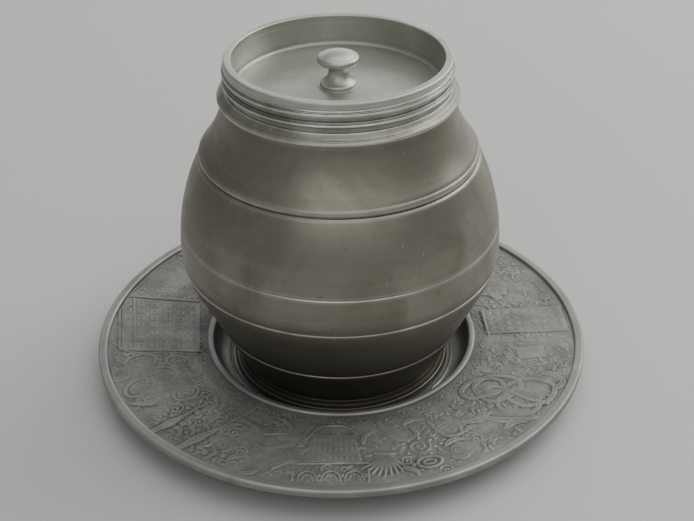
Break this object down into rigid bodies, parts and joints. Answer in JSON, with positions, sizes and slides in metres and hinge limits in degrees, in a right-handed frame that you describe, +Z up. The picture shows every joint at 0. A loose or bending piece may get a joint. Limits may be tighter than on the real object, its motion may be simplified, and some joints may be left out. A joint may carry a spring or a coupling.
{
  "type": "lidded sugar bowl with underplate",
  "caption": "Pot-bellied pewter sugar bowl with a recessed, knobbed lid that lifts out and a wide relief underplate whose well holds the foot.",
  "frame": {"origin": "centre of the underplate where it rests on the table", "axes": "+Z up along the turning axis; X and Y are level, and the piece is round, so which way they point only sets where the relief on the flange starts"},
  "size_m": [0.2, 0.2, 0.1361],
  "materials": {
    "pewter_lid": "satin",
    "pewter_body": "dull satin, aged",
    "pewter_plate": "matt, aged, brighter on the high parts",
    "steel_fitting": "turned"
  },
  "bodies": {
    "plate": {"plate_flange": "pewter_plate", "plate_rim": "pewter_plate", "plate_well": "pewter_plate"},
    "bowl": {"foot_ring": "pewter_body", "base_disc": "pewter_body", "lower_shell": "pewter_body", "upper_shell": "pewter_body", "shoulder": "pewter_body", "neck_collar": "pewter_body", "neck": "pewter_body", "mouth_ring": "pewter_body"},
    "lid": {"lid_pan": "pewter_lid", "lid_rim": "pewter_lid", "knob": "pewter_lid", "knob_washer": "pewter_lid", "knob_stud": "steel_fitting", "knob_nut": "steel_fitting"}
  },
  "joints": [
    {"name": "bowl_lift", "type": "slide", "parent": "plate", "child": "bowl", "axis": [0, 0, 1], "range_m": [0, 0.06]},
    {"name": "lid_lift", "type": "slide", "parent": "bowl", "child": "lid", "axis": [0, 0, 1], "range_m": [0, 0.06]}
  ]
}
